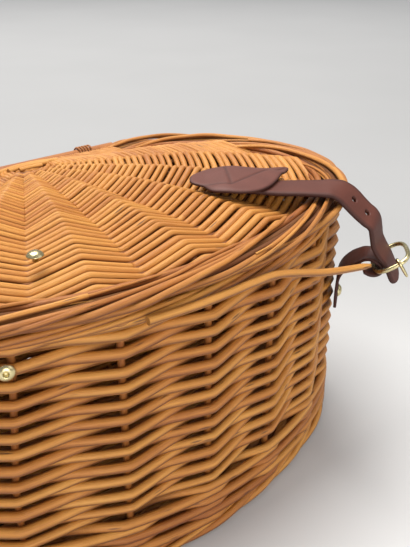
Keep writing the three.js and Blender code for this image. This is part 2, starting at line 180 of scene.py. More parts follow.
class Finish:
    """A material built from nodes."""

    def __init__(self, name):
        self.material = bpy.data.materials.new(name)
        self.material.use_nodes = True
        self.tree = self.material.node_tree
        self.tree.nodes.clear()
        self.surface = self.tree.nodes.new("ShaderNodeBsdfPrincipled")
        output = self.tree.nodes.new("ShaderNodeOutputMaterial")
        self.tree.links.new(self.surface.outputs[0], output.inputs[0])

    def node(self, kind, settings=None, inputs=None, out=0):
        made = self.tree.nodes.new(kind)
        for key, value in (settings or {}).items():
            if key == "stops":
                self.set_stops(made.color_ramp, value)
            else:
                setattr(made, key, value)
        for key, value in (inputs or {}).items():
            self.feed(made.inputs[key], value)
        return Value(self, made.outputs[out])

    def set_stops(self, ramp, stops):
        while len(ramp.elements) < len(stops):
            ramp.elements.new(0.5)
        for element, (place, colour) in zip(ramp.elements, stops):
            element.position = place
            element.color = (*colour, 1.0)

    def feed(self, socket, value):
        if isinstance(value, Value):
            self.tree.links.new(value.socket, socket)
        else:
            socket.default_value = value

    def set(self, **inputs):
        for key, value in inputs.items():
            self.feed(self.surface.inputs[key.replace("_", " ")], value)
        return self.material

    def attribute(self, name, out="Fac"):
        return self.node("ShaderNodeAttribute", {"attribute_name": name}, out=out)

    def place(self, out="Object"):
        return self.node("ShaderNodeTexCoord", out=out)

    def point(self, x, y, z):
        return self.node("ShaderNodeCombineXYZ", {}, {0: x, 1: y, 2: z})

    def part(self, vector, axis):
        return self.node("ShaderNodeSeparateXYZ", {}, {0: vector}, axis)

    def noise(self, vector, scale, detail=3.0, rough=0.55):
        inputs = {"Vector": vector, "Scale": scale, "Detail": detail, "Roughness": rough}
        return self.node("ShaderNodeTexNoise", {}, inputs)

    def cells(self, vector, scale, feature="F1"):
        return self.node("ShaderNodeTexVoronoi", {"feature": feature}, {"Vector": vector, "Scale": scale})

    def mix(self, amount, a, b):
        return self.node("ShaderNodeMix", {"data_type": "RGBA"}, {0: amount, 6: a, 7: b}, 2)

    def bump(self, height, strength, distance):
        inputs = {"Height": height, "Strength": strength, "Distance": distance}
        return self.node("ShaderNodeBump", {}, inputs)


def rgba(r, g, b):
    return (r, g, b, 1.0)


# The willow's colours: from dark to pale rods, its knots, then painted shade for the rods' undersides and
# for rods behind others.
WILLOW_STOPS = [
    (0.0, (0.105, 0.020, 0.002)),
    (0.26, (0.300, 0.083, 0.009)),
    (0.5, (0.500, 0.186, 0.026)),
    (0.76, (0.650, 0.300, 0.054)),
    (1.0, (0.740, 0.420, 0.118))]
KNOT_BROWN = rgba(0.060, 0.018, 0.006)
UNDERSIDE_PAINTED_SHADE = rgba(0.090, 0.016, 0.001)
BEHIND_PAINTED_SHADE = rgba(0.095, 0.024, 0.002)


def willow():
    """Varnished peeled willow: each rod its own tone, streaks along it, small dark knots, painted shade on
    undersides and behind other rods.
    """
    finish = Finish("willow")
    tone = finish.attribute("tone")
    along = finish.attribute("along")
    girth = finish.attribute("girth", "Vector")
    side_x = finish.part(girth, 0)
    side_y = finish.part(girth, 1)

    def skin(across, length, shift_x=0.0, shift_y=0.0):
        """Points on a rod's skin, scaled across and along it and moved by the rod's tone."""
        x = side_x * across + tone * shift_x
        y = side_y * across + tone * shift_y
        return finish.point(x, y, along * length)

    broad = finish.noise(skin(1.0, 16.0, 37.0, 91.0), 1.6, 4.0, 0.6)
    streak = finish.noise(skin(3.4, 22.0, 53.0), 2.2, 4.0, 0.65)
    grain = finish.noise(skin(9.0, 90.0, 0.0, 17.0), 2.4, 3.0, 0.6)
    cloud = finish.noise(finish.place(), 24.0, 2.0, 0.5)
    level = tone * 0.42 + broad * 0.34 + streak * 0.5 + cloud * 0.26 + grain * 0.26 - 0.36
    colour = finish.node("ShaderNodeValToRGB", {"stops": WILLOW_STOPS}, {0: level.clamp()})
    knots = finish.cells(skin(1.1, 60.0, 71.0), 0.55)
    knot = 1.0 - knots.step(0.05, 0.16)
    flecks = finish.cells(skin(4.0, 130.0, 29.0), 1.0)
    fleck = (1.0 - flecks.step(0.06, 0.15)) * finish.noise(finish.place(), 60.0).step(0.5, 0.62)
    colour = finish.mix((knot * 0.75 + fleck * 0.5).clamp(), colour, KNOT_BROWN)
    facing = finish.place("Normal")
    rise = finish.part(facing, 2)
    # Painted shade on the rods' undersides, where the surface faces down.
    under = (1.0 - rise.step(-0.4, 0.5)) * rise.step(-0.95, -0.5)
    colour = finish.mix(under * 0.78, colour, UNDERSIDE_PAINTED_SHADE)
    # Painted shade where rods lie behind others, only on faces that look outwards; those parts are also
    # rougher and less coated.
    dot = {"operation": "DOT_PRODUCT"}
    outward = finish.node("ShaderNodeVectorMath", dot, {0: facing, 1: finish.place()}, 1)
    deep = finish.attribute("deep") * outward.step(-0.02, 0.02)
    colour = finish.mix(deep, colour, BEHIND_PAINTED_SHADE)
    rough = 0.36 + grain * 0.22 + finish.noise(finish.place(), 150.0, 4.0, 0.6) * 0.14 + deep * 0.35
    normal = finish.bump(grain * 0.6 + streak * 0.7 - knot * 0.5, 0.6, 0.0007)
    return finish.set(Base_Color=colour, Roughness=rough, Normal=normal,
                      Coat_Weight=0.12 - deep * 0.12, Coat_Roughness=0.3)


# Painted shade for the leather where it faces sideways, and the dark colour of its cut edges and pressed
# lines.
SIDE_PAINTED_SHADE = rgba(0.040, 0.009, 0.005)
EDGE_BROWN = rgba(0.030, 0.009, 0.007)


def leather(name, light, dark):
    """Smooth brown leather: fine pores, faint creases, dark rubbed edges, painted shade where it faces
    sideways.
    """
    finish = Finish(name)
    place = finish.place()
    edge = finish.attribute("edge")
    groove = finish.attribute("groove")
    cloud = finish.noise(place, 55.0, 4.0, 0.6)
    pores = finish.cells(place, 1500.0, "DISTANCE_TO_EDGE")
    crease = finish.noise(place, 420.0, 5.0, 0.65)
    shade = (cloud * 0.75 + crease * 0.3 - 0.08).clamp()
    colour = finish.mix(shade, rgba(*dark), rgba(*light))
    facing = finish.place("Normal")
    # Painted shade: the leather darkens where it faces sideways or down.
    side = 1.0 - finish.part(facing, 2).step(0.2, 0.85)
    colour = finish.mix(side * 0.55, colour, SIDE_PAINTED_SHADE)
    colour = finish.mix((edge * 0.7 + groove * 0.6).clamp(), colour, EDGE_BROWN)
    rough = 0.44 + crease * 0.18 + edge * 0.15
    normal = finish.bump(pores.step(0.0, 0.25) * 0.35 + crease * 0.65, 0.22, 0.0004)
    return finish.set(Base_Color=colour, Roughness=rough, Normal=normal, Specular_IOR_Level=0.35)


def brass():
    """Pale polished brass with fine scratches and a little dulling."""
    finish = Finish("brass")
    place = finish.place()
    dull = finish.noise(place, 260.0, 4.0, 0.6)
    fine = finish.noise(place, 1800.0, 3.0, 0.6)
    colour = finish.mix(dull, rgba(0.42, 0.34, 0.15), rgba(0.70, 0.62, 0.38))
    rough = 0.14 + dull * 0.2 + fine * 0.06
    normal = finish.bump(fine, 0.08, 0.0003)
    return finish.set(Base_Color=colour, Roughness=rough, Normal=normal, Metallic=1.0)


WILLOW = willow()
PATCH_LEATHER = leather("patch_leather", (0.165, 0.052, 0.036), (0.085, 0.025, 0.017))
STRAP_LEATHER = leather("strap_leather", (0.140, 0.037, 0.022), (0.062, 0.015, 0.008))
BRASS = brass()


def rod_tree():
    """Geometry nodes: a round rod along every line of a mesh, as thick as the line says."""
    tree = bpy.data.node_groups.new("rods_along_lines", "GeometryNodeTree")
    sockets = [("Lines", "Geometry", None), ("Sides", "Int", 8), ("Thickness Scale", "Float", 1.0),
               ("Finish", "Material", None)]
    for name, kind, default in sockets:
        made = tree.interface.new_socket(name, in_out="INPUT", socket_type="NodeSocket" + kind)
        if default is not None:
            made.default_value = default
    tree.interface.new_socket("Rods", in_out="OUTPUT", socket_type="NodeSocketGeometry")

    def node(kind, inputs=None, **settings):
        made = tree.nodes.new(kind)
        for key, value in settings.items():
            setattr(made, key, value)
        for key, value in (inputs or {}).items():
            if isinstance(value, bpy.types.NodeSocket):
                tree.links.new(value, made.inputs[key])
            else:
                made.inputs[key].default_value = value
        return made.outputs

    given = node("NodeGroupInput")
    curve = node("GeometryNodeMeshToCurve", {0: given["Lines"]})[0]
    thick = node("GeometryNodeInputNamedAttribute", {"Name": "thickness"}, data_type="FLOAT")
    factors = {0: thick["Attribute"], 1: given["Thickness Scale"]}
    scaled = node("ShaderNodeMath", factors, operation="MULTIPLY")[0]
    curve = node("GeometryNodeSetCurveRadius", {"Curve": curve, "Radius": scaled})[0]
    circle = node("GeometryNodeCurvePrimitiveCircle", {"Radius": 1.0, "Resolution": given["Sides"]})
    stored = {"Geometry": circle["Curve"], "Name": "girth", "Value": node("GeometryNodeInputPosition")[0]}
    profile = node("GeometryNodeStoreNamedAttribute", stored, data_type="FLOAT_VECTOR", domain="POINT")[0]
    swept = {"Curve": curve, "Profile Curve": profile, "Scale": scaled, "Fill Caps": True}
    rods = node("GeometryNodeCurveToMesh", swept)[0]
    rods = node("GeometryNodeSetShadeSmooth", {0: rods})[0]
    rods = node("GeometryNodeRealizeInstances", {0: rods})[0]
    rods = node("GeometryNodeSetMaterial", {"Geometry": rods, "Material": given["Finish"]})[0]
    node("NodeGroupOutput", {"Rods": rods})
    return tree


ROD_TREE = rod_tree()
SOCKETS = {item.name: item.identifier for item in ROD_TREE.interface.items_tree if item.in_out == "INPUT"}


class Rods:
    """A bundle of rod lines that becomes one piece."""

    def __init__(self):
        self.points, self.edges, self.count = [], [], 0
        self.thickness, self.tone, self.along, self.deep = [], [], [], []

    def add(self, points, radius, tone=None, deep=0.0, loop=False):
        """A rod along points; its painted shade, from 0 to 1, darkens it where it lies behind others."""
        points = np.asarray(points, float)
        n = len(points)
        tone = rng.random() if tone is None else tone
        steps = np.linalg.norm(np.diff(points, axis=0), axis=1)
        first = np.arange(n - 1) + self.count
        self.edges.append(np.stack([first, first + 1], 1))
        if loop:
            self.edges.append(np.array([[self.count + n - 1, self.count]]))
        self.points.append(points)
        self.thickness.append(np.broadcast_to(np.asarray(radius, float), n))
        self.tone.append(np.full(n, tone))
        self.deep.append(np.broadcast_to(np.asarray(deep, float), n))
        self.along.append(np.concatenate([[0], np.cumsum(steps)]))
        self.count += n

    def make(self, name, body, replaced, sides=8, material=WILLOW, slot="willow"):
        """Sweeps the rods and puts them in the scene as one piece in place of CAD nodes."""
        mesh = bpy.data.meshes.new(name + "_lines")
        points = in_frame(np.concatenate(self.points))
        edges = np.concatenate(self.edges)
        mesh.from_pydata(points.tolist(), edges.tolist(), [])
        lengths = {"thickness": self.thickness, "along": self.along}
        for key, values in {**lengths, "tone": self.tone, "deep": self.deep}.items():
            scale = MM if key in lengths else 1.0
            attribute = mesh.attributes.new(key, "FLOAT", "POINT")
            attribute.data.foreach_set("value", (np.concatenate(values) * scale).astype(np.float32))
        mesh.update()
        lines = placed(name + "_lines", mesh)
        modifier = lines.modifiers.new("rods", "NODES")
        modifier.node_group = ROD_TREE
        modifier[SOCKETS["Sides"]] = sides
        modifier[SOCKETS["Thickness Scale"]] = 1.0
        modifier[SOCKETS["Finish"]] = material
        result = evaluated(lines)
        lines.modifiers.remove(modifier)
        bpy.data.objects.remove(lines)
        bpy.data.meshes.remove(mesh)
        dress(name, result, body, replaced, material)


def placed(name, data):
    """A new object in the scene."""
    thing = bpy.data.objects.new(name, data)
    bpy.context.scene.collection.objects.link(thing)
    return thing


def evaluated(thing):
    """The mesh of an object with its modifiers carried out."""
    graph = bpy.context.evaluated_depsgraph_get()
    return bpy.data.meshes.new_from_object(
        thing.evaluated_get(graph), preserve_all_data_layers=True, depsgraph=graph)


def dress(name, mesh, body, replaced, material):
    """Puts a finished mesh in the scene as one piece on its body."""
    mesh.name = name
    if not mesh.materials:
        mesh.materials.append(material)
    piece = placed(name, mesh)
    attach(piece, body)
    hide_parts(*replaced)


# Painted shade: how much darker rods are painted where they lie under or behind others, from 0 to 1.
WALL_PAINTED_SHADE, UNDER_ROD_PAINTED_SHADE, CORE_PAINTED_SHADE = 0.75, 0.6, 0.85
# Tones of rods, from 0 for dark to 1 for pale: the lowest, and how far above it they go.
ROW_TONES, STAKE_TONES = (0.36, 0.5), (0.1, 0.25)
# The ribs' low tones are painted shade for the gaps they show through.
LID_TONES, RIB_SHADE_TONES, BORDER_TONES = (0.32, 0.5), (0.1, 0.2), (0.15, 0.6)


def tone_from(low, spread):
    """A rod's own tone."""
    return low + spread * rng.random()


# The woven body in mm; each row's rods differ a little in thickness.
ROD_R, WEAVE_REACH = 2.6, 4.3
STAKES, STAKE_R, STAKE_FROM = 18, 1.9, 540.8
STAKE_GAP = AROUND / STAKES
WALL_MIDDLE = -(WEAVE_REACH + ROD_R)
ROWS, ROW_LOW, ROW_PITCH, ROW_DIP = 26, 40.5, 4.56, 0.9
ROW_THICK, LENGTH_THICK = (0.86, 1.05), (0.9, 1.06)
TOP_ROW_Z = 152.4
# The top rows lie flatter and flatter.
TOP_ROWS, TOP_FLAT = 6, 0.68
STAKE_LOW, STAKE_HIGH, STAKE_POINTS, STAKE_OUT = 7, 151, 30, 0.3
WALE_BANDS, WALE_CLIMB, WALE_THICK = (13.0, 22.1, 31.2), 3.4, (0.94, 1.06)
# A wale rod's climb over three stakes: stakes passed, and share of the climb.
WALE_PASSED = [0, 0.15, 1.9, 2.2, 2.85, 3.0]
WALE_SHARE = [-1, -1, 1, 1.05, -1, -1]
# Points of a row from one stake to the next, closer together at the stake.
NEAR_STAKE = np.array([-0.5, -0.36, -0.24, -0.15, -0.085, -0.04, -0.012,
                       0.012, 0.04, 0.085, 0.15, 0.24, 0.36])
stake_count = (np.arange(STAKES)[:, None] + NEAR_STAKE).ravel()
around_run = STAKE_FROM + stake_count * STAKE_GAP
around_turn = 2 * np.pi * stake_count / STAKES
# How far stakes lean, the height where that starts, and the height over which it grows.
LEAN, LEAN_TOP, LEAN_TALL = 7.0, 140.0, 75.0
LEAN_STAKES, LEAN_SHARE = [-2.5, -1.0, 0.0, 3.0, 7.0], [0.0, 0.1, 1.0, 1.0, 0.0]
# Towards the back the rods swing less and rise a little on the inside.
BACK_RISE, BACK_FLAT = 2.4, 0.38
BACK_RUN, BACK_FADE = 252.0, 32.0
from_back = np.abs(np.mod(around_run + AROUND / 2, AROUND) - AROUND / 2)
back_share = np.clip((BACK_RUN - from_back) / BACK_FADE, 0, 1)


def stake_run(z, count):
    """Where stakes stand along the outline at a height: at the front's left they lean outwards below."""
    signed = np.mod(count + STAKES / 2, STAKES) - STAKES / 2
    share = np.interp(signed, LEAN_STAKES, LEAN_SHARE)
    return STAKE_FROM + count * STAKE_GAP + LEAN * share * np.clip((LEAN_TOP - z) / LEAN_TALL, 0, 1)


def in_lengths(rods, points, thick, deep, breaks):
    """A closed row laid as several rods, each a little past the place where the next begins."""
    ends = [*breaks, breaks[0] + len(points)]
    for first, last in zip(ends[:-1], ends[1:]):
        index = np.arange(first - 2, last + 3) % len(points)
        tone = tone_from(*ROW_TONES)
        rods.add(points[index], thick[index] * rng.uniform(*LENGTH_THICK), tone, deep[index])


def weave_rows(rods):
    """Single rods that pass in front of one stake and behind the next, row on row."""
    for row in range(ROWS):
        level = min(ROW_LOW + row * ROW_PITCH, TOP_ROW_Z)
        z = level - ROW_DIP * kinked(2 * stake_count, 0.995) + wander(around_turn, 0.25, 9)
        flat = np.interp(row, [ROWS - TOP_ROWS, ROWS - 1], [1.0, TOP_FLAT]) * (1 - BACK_FLAT * back_share)
        weave = kinked(stake_count + row, 0.998)
        reach = (WEAVE_REACH * flat + wander(around_turn, 0.12)) * weave
        z = z + BACK_RISE * back_share * (1 - weave) / 2
        thick = ROD_R * rng.uniform(*ROW_THICK) * (1 + wander(around_turn, 0.02))
        points = columns(plan(stake_run(level, stake_count), WALL_MIDDLE + reach), z)
        first = 2 * rng.integers(0, STAKES // 2) + (row + 1) % 2
        behind = [first, first + 2 * rng.integers(2, 4), first + 2 * rng.integers(5, 8)]
        breaks = [len(NEAR_STAKE) * k + len(NEAR_STAKE) // 2 for k in behind]
        # Painted shade on each row where it passes behind a stake.
        in_lengths(rods, points, thick, WALL_PAINTED_SHADE * np.clip(-weave, 0, 1), breaks)


def weave_stakes(rods):
    """The upright stakes that the rows are woven on."""
    z = np.linspace(STAKE_LOW, STAKE_HIGH, STAKE_POINTS)
    for k in range(STAKES):
        place = plan(stake_run(z, np.full(STAKE_POINTS, float(k))), WALL_MIDDLE + STAKE_OUT)
        rods.add(columns(place, z), STAKE_R, tone_from(*STAKE_TONES))


def weave_wale(rods):
    """Bands of three rods that pass in front of two stakes and behind one."""
    for low in WALE_BANDS:
        for k in range(3):
            q = np.mod(stake_count + k + 0.5, 3.0)
            reach = WEAVE_REACH * np.clip(1.7 * np.cos(2 * np.pi * (q - 1) / 3) + 0.4, -1, 1)
            climb = WALE_CLIMB * np.interp(q, WALE_PASSED, WALE_SHARE)
            z = low + climb + wander(around_turn, 0.3, 8)
            thick = ROD_R * rng.uniform(*WALE_THICK)
            place = plan(stake_run(low, stake_count), WALL_MIDDLE + reach)
            # Painted shade where a wale rod passes behind a stake.
            deep = WALL_PAINTED_SHADE * np.clip(-reach / WEAVE_REACH, 0, 1)
            rods.add(columns(place, z), thick, None, deep, True)


def oval_angle(share, half_w, half_h):
    """The angle on an oval at a share of its way round, counted evenly along its edge."""
    angles = np.linspace(0, 2 * np.pi, 721)
    edge = np.stack([half_w * np.cos(angles), half_h * np.sin(angles)], -1)
    steps = np.concatenate([[0], np.cumsum(np.linalg.norm(np.diff(edge, axis=0), axis=1))])
    return np.interp(np.mod(share, 1.0) * steps[-1], steps, angles)


# The lid's border ends a little past the corners of the back, where it narrows.
BORDER_PAST = 15.0
BORDER_ENDS = (BACK_HALF - BORDER_PAST, AROUND - BACK_HALF + BORDER_PAST)
PINCH_RUN, PINCHED = 26, 0.5


def pinch(run):
    """How far the lid's border narrows: 1 all round, less at the corners."""
    past = np.minimum(run - BORDER_ENDS[0], BORDER_ENDS[1] - run)
    return np.interp(past, [0, PINCH_RUN], [PINCHED, 1.0])


ROLLED_WANDER, ROLLED_THICK = 0.25, (0.84, 1.1)


def rolled(rods, runs, middle_in, z, oval, count, turn_length, thick, size=1.0, deep=0.0):
    """Rods wound slowly round an oval bundle that follows the outline."""
    half_w, half_h = oval
    turn = 2 * np.pi * (runs - runs[0]) / (runs[-1] - runs[0])
    for k in range(count):
        angle = oval_angle(k / count + (runs - runs[0]) / turn_length, half_w, half_h)
        swell = 1 + wander(turn, 0.03, 7)
        out = half_w * np.cos(angle) * swell * size + wander(turn, ROLLED_WANDER, 9)
        up = half_h * np.sin(angle) * swell * size + wander(turn, ROLLED_WANDER, 9)
        radius = thick * rng.uniform(*ROLLED_THICK) * (1 + wander(turn, 0.025)) * size
        level = np.maximum(z + up, radius + 0.1)
        rods.add(columns(plan(runs, middle_in + out), level), radius, None, deep)


# Rods laid over the lid's border: some are cut short, and all get painted shade low down on the outside,
# where they start.
CUT_EVERY, CUT_FIRST, CUT_SHIFT, CUT_SHARE = 6, 1, 20.8, 0.28
LAID_POINTS, LAID_TIP, CUT_TIP = 70, 0.72, 0.92
LAID_THICK, LAID_SLANT, LAID_LIFT = (0.6, 1.18), (0.82, 1.16), (-1.5, 0.5)
LOW_SHARE, LOW_PAINTED_SHADE = [-0.25, 0.0, 0.15], [0.4, 0.22, 0.0]


def laid_over(rods, ends, middle_in, z, oval, length, shares, thick, step):
    """Rods that rise from below, cross the top aslant and tuck in, one after another."""
    half_w, half_h = oval
    t = np.linspace(0, 1, LAID_POINTS)
    for k, start in enumerate(np.arange(ends[1] + length - CUT_SHIFT, ends[0], -step)):
        short = k % CUT_EVERY == CUT_FIRST
        stop = CUT_SHARE if short else shares[1] + rng.uniform(-0.06, 0.04)
        reach = (stop - shares[0]) / (shares[1] - shares[0])
        share = shares[0] + (stop - shares[0]) * t
        angle = oval_angle(share, half_w, half_h)
        # Painted shade on the outer, lower part of each laid rod.
        deep = np.interp(share, LOW_SHARE, LOW_PAINTED_SHADE)
        slant = 1.0 if short else rng.uniform(*LAID_SLANT)
        run = start - length * slant * reach * t
        size = pinch(run)
        slim = np.interp(t, [0, 0.5, 1], [1.06, 1.0, CUT_TIP if short else LAID_TIP])
        radius = thick * rng.uniform(*LAID_THICK) * slim * np.sqrt(size)
        lift = rng.uniform(*LAID_LIFT) + wander(2 * np.pi * t, 0.35, 6)
        out = (half_w + lift) * np.cos(angle) * size
        up = (half_h + lift) * np.sin(angle) * size
        held = (run >= ends[0]) & (run <= ends[1])
        if held.sum() > 4:
            points = columns(plan(run, middle_in + out), z + up)
            rods.add(points[held], radius[held], tone_from(*BORDER_TONES), deep[held])


# The body's borders in mm: outward place and height, then half sizes, rods, length of a turn, thickness.
RIM_IN, RIM_Z = -4.5, 152.0
RIM_ROLL = ((2.3, 2.3), 5, -AROUND / 6, 1.75)
FOOT_IN, FOOT_Z = -6.3, 5.0
FOOT_ROLL = ((4.7, 2.1), 6, -AROUND / 4, 2.2)
whole_run = np.linspace(0, AROUND, 301)

wall = Rods()
weave_rows(wall)
weave_stakes(wall)
wall.make("woven_wall", "basket", ["wall"])

wale = Rods()
weave_wale(wale)
wale.make("wale_bands", "basket", ["wall"])

rim = Rods()
rolled(rim, whole_run, RIM_IN, RIM_Z, *RIM_ROLL)
rim.make("rim_rods", "basket", ["rim_border"])

foot = Rods()
rolled(foot, whole_run, FOOT_IN, FOOT_Z, *FOOT_ROLL)
foot.make("foot_rods", "basket", ["foot_border"])

# The base in mm: its rows from back to front, and the sticks that they are woven on.
BASE_MIDDLE, BASE_WAVE, BASE_R = 7.6, 1.5, 2.3
BASE_ROWS, BASE_IN, BASE_THICK = (-14.0, -190.0, -4.1), 10.5, (0.96, 1.04)
STICKS_A_SIDE, STICK_GAP, BASE_STICK_R, BASE_STICK_IN = 4, 34.0, 2.0, 8.0
# Rods that close the base round its edge: outward place and height.
BASE_RING = [(-11.5, 8.6), (-12.6, 4.6), (-15.4, 8.4)]


def weave_base():
    """The floor of the basket: rods over and under sticks that run from back to front."""
    rods = Rods()
    xs = np.linspace(-165, 165, 90)
    for row, y in enumerate(np.arange(*BASE_ROWS)):
        held = xs[inset(xs, np.full_like(xs, y)) > BASE_IN]
        z = BASE_MIDDLE + BASE_WAVE * kinked(held / STICK_GAP + row)
        rods.add(columns(held, np.full_like(held, y), z), BASE_R * rng.uniform(*BASE_THICK))
    ys = np.linspace(-1, -203, 60)
    for x in STICK_GAP * np.arange(-STICKS_A_SIDE, STICKS_A_SIDE + 1):
        held = ys[inset(np.full_like(ys, x), ys) > BASE_STICK_IN]
        flat = np.full_like(held, BASE_MIDDLE)
        rods.add(columns(np.full_like(held, x), held, flat), BASE_STICK_R)
    for offset, z in BASE_RING:
        rods.add(level_line(around_run, offset, z), BASE_R, loop=True)
    return rods


weave_base().make("woven_base", "basket", ["base_panel"])

# The fan lid in mm: rods woven round the fan's middle over ribs that spread from it.
FAN_Y = -4.0
RIB_STEP = math.radians(9.0)
# Rows stand further apart, and are thicker, towards the front; a row's rods are a share of its pitch.
LID_ROWS, LID_ROD, LID_ROD_SIDE = (3.9, 5.3), 0.405, 0.1
LID_THICK, LID_LENGTH_THICK = (0.88, 1.06), (0.92, 1.08)
LID_REACH, LID_SWING, LID_OVER = 3.8, 0.24, 0.4
FAN_FIRST, FAN_RIBS = 12.0, 20
# Behind this line the lid is level, and within this reach its rods are slimmer.
LEVEL_Y, FULL_REACH, SLIMMEST = -6.0, 150.0, 0.45
# Short pale rods that close the fan's middle: place from back to front, height, half length, thickness.
FAN_HEART = [(-7.4, 165.0, 22, 2.0), (-11.2, 165.4, 14, 1.9), (-14.6, 165.4, 8, 1.7)]
HEART_TONE = 0.95
UNDER_R, UNDER_DROP, UNDER_RISE = 1.6, 3.2, 1.2
FAN_EDGE_IN, FAN_CORNER = -15.3, (66.0, -7.0)

edge_run = np.linspace(BACK_HALF, AROUND - BACK_HALF, 400)
fan_edge = np.vstack([FAN_CORNER, plan(edge_run, FAN_EDGE_IN), (-FAN_CORNER[0], FAN_CORNER[1])])
fan_angle = np.arctan2(FAN_Y - fan_edge[:, 1], fan_edge[:, 0])
NEAR_RIB = np.array([-0.5, -0.32, -0.17, -0.07, -0.02, 0.02, 0.07, 0.17, 0.32])


def fan_point(angle, share):
    """Points at angles round the fan, at a share of the way out to its edge."""
    x = np.interp(angle, fan_angle, fan_edge[:, 0])
    y = np.interp(angle, fan_angle, fan_edge[:, 1])
    return share * x, FAN_Y + share * (y - FAN_Y)


def lid_level(x, y):
    """Height of the fan's top, level near the back stick."""
    return panel_top(x, np.minimum(y, LEVEL_Y))


def slimmer(x, y, share):
    """How slim rods are where the fan is narrow: 1 where it is wide."""
    return np.clip(np.hypot(x, y - FAN_Y) / share / FULL_REACH, SLIMMEST, 1.0)


def weave_fan():
    """Rows of rods round the fan's middle, each in a few lengths, over thin rods and ribs."""
    rods = Rods()
    front = FAN_Y - fan_point(math.pi / 2, 1.0)[1]
    angle = ((np.arange(0, FAN_RIBS + 1)[:, None] + NEAR_RIB) * RIB_STEP).ravel()
    angle = angle[(angle > fan_angle[0]) & (angle < fan_angle[-1])]
    out = FAN_FIRST
    while out < front:
        share = out / front
        pitch = np.interp(share, [0.15, 1.0], LID_ROWS)
        x, y = fan_point(angle, share)
        swing = rib_swing(x, y)
        turn = 2 * angle
        thick = LID_ROD * pitch * (1 + LID_ROD_SIDE * np.abs(np.cos(angle))) * rng.uniform(*LID_THICK)
        thick = thick * slimmer(x, y, share) * (1 + wander(turn, 0.02))
        z = lid_level(x, y) + LID_OVER - thick - swing * (1 - kinked(angle / RIB_STEP, 0.996))
        ribs = np.flatnonzero(np.abs(angle / RIB_STEP - np.round(angle / RIB_STEP)) < 0.03)
        valleys = [k for k in ribs if round(angle[k] / RIB_STEP) % 2 and 20 < k < len(angle) - 20]
        breaks = sorted(rng.choice(valleys, rng.integers(1, 4), replace=False))
        for first, last in zip([0, *breaks], [*breaks, len(angle)]):
            part = slice(max(first - 2, 0), last + 3)
            nudge = wander(turn[part], 0.16, 9) + rng.uniform(-0.3, 0.3)
            across = columns(np.cos(angle[part]), -np.sin(angle[part])) * nudge[:, None]
            level = z[part] + wander(turn[part], 0.12, 9)
            points = columns(columns(x, y)[part] + across, level)
            rods.add(points, thick[part] * rng.uniform(*LID_LENGTH_THICK), tone_from(*LID_TONES))
        under_row(rods, (out + pitch / 2) / front)
        out += pitch
    fan_ribs(rods)
    for y, z, half, thick in FAN_HEART:
        x = np.linspace(-half, half, 16)
        rods.add(columns(x, y - 0.004 * x**2, z - 0.002 * x**2), thick, HEART_TONE)
    return rods


def rib_swing(x, y):
    """How far the fan's rods swing up and down at points of the lid."""
    span = np.hypot(x, y - FAN_Y)
    return np.minimum(LID_REACH, LID_SWING * span * RIB_STEP) * np.clip((LEVEL_Y - y) / 22.0, 0.3, 1.0)


def under_row(rods, share):
    """A thin rod between two rows that runs under the ridges and over the ribs of the valleys."""
    angle = np.arange(0.5, 19.6, 0.5) * RIB_STEP
    x, y = fan_point(angle, min(share, 1.0))
    over = UNDER_RISE * (1 - kinked(angle / RIB_STEP)) / 2
    z = lid_level(x, y) - 2 * rib_swing(x, y) - UNDER_DROP + over
    # The thin rod gets the darkest tone and painted shade, standing for the shade in the gaps between
    # rows.
    rods.add(columns(x, y, z), UNDER_R * slimmer(x, y, share), 0.0, UNDER_ROD_PAINTED_SHADE)


def fan_ribs(rods):
    """Ribs from the fan's middle: the even ones run under the ridges, the odd ones along the valleys."""
    for k in range(1, FAN_RIBS):
        even = k % 2 == 0
        share = np.linspace(0.09 if even else 0.04, 1.03, 40)
        x, y = fan_point(np.full(40, k * RIB_STEP), share)
        swing = rib_swing(x, y)
        drop = swing + 2.6 if even else 2 * swing + 2.4
        radius = np.linspace(1.8, 2.0, 40) if even else np.linspace(1.5, 1.2, 40)
        points = columns(x, y, lid_level(x, y) - drop)
        # The ribs' low tones and half the painted shade stand for the shade in the gaps between rows.
        rods.add(points, radius, tone_from(*RIB_SHADE_TONES), UNDER_ROD_PAINTED_SHADE / 2)


weave_fan().make("fan_lid", "lid", ["lid_panel"])

# The lid's border in mm: a core darkened with painted shade, rods laid over it, and dark rods where the
# fan's rows end.
BORDER_IN, BORDER_Z = -6.8, 161.8
BORDER_CORE = ((3.4, 0.4), 4, -400.0, 1.6)
BORDER_LAID = ((9.0, 3.5), 4.2 * STAKE_GAP, (-0.26, 0.5), 1.6, STAKE_GAP / 1.8)
FAN_END_RODS, FAN_END_R = ((-14.6, 162.0), (-15.6, 158.8), (-12.2, 159.0)), 2.0
# Splinters of the border: start, end and thickness.
SPLINTERS = [((-77, -182.6, 164.2), (-60.5, -188.6, 163.0), 0.9),
             ((-20, -196.6, 164.6), (-4, -200.4, 163.8), 0.7),
             ((20, -200.6, 164.4), (33, -199.6, 165.4), 0.6),
             ((-110, -166.6, 163.6), (-98, -174.8, 163.2), 0.8)]
SPLINTER_TIP, SPLINTER_TONE = 0.25, 0.9
border = Rods()
border_run = np.linspace(*BORDER_ENDS, 300)
rolled(border, border_run, BORDER_IN, BORDER_Z, *BORDER_CORE, pinch(border_run), CORE_PAINTED_SHADE)
laid_over(border, BORDER_ENDS, BORDER_IN, BORDER_Z, *BORDER_LAID)
for offset, z in FAN_END_RODS:
    border.add(level_line(border_run, offset, z), FAN_END_R * pinch(border_run), 0.0)
for start, end, thick in SPLINTERS:
    border.add(np.linspace(start, end, 12), np.linspace(thick, SPLINTER_TIP, 12), SPLINTER_TONE)
border.make("lid_border_rods", "lid", ["lid_border"])

